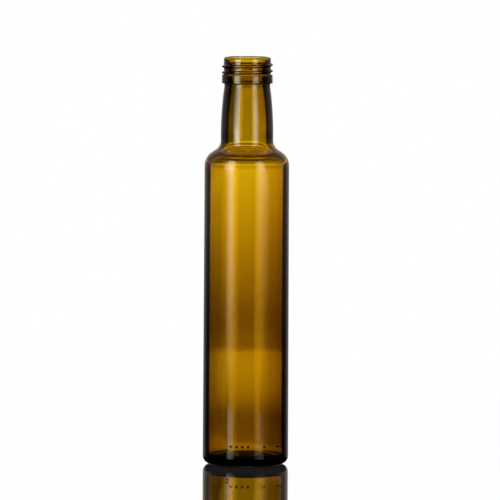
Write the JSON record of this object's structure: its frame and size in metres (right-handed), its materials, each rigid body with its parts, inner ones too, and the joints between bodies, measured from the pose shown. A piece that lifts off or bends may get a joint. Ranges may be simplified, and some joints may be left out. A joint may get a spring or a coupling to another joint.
{
  "type": "round olive oil bottle",
  "caption": "Empty round oil bottle of amber-green glass: straight body on a ring foot, rounded shoulder, slightly swelling neck, screw finish with a locking ring, no cap.",
  "frame": {"origin": "on the bottle's axis, in the plane that its foot stands on", "axes": "+Z along the axis, from the foot to the mouth; +X to the right of the shown side and +Y away from it"},
  "size_m": [0.0504, 0.0504, 0.24],
  "materials": {
    "bottle_glass": "smooth transparent moulded glass, amber-green"
  },
  "bodies": {
    "root": {"bottle": "bottle_glass"}
  },
  "joints": []
}
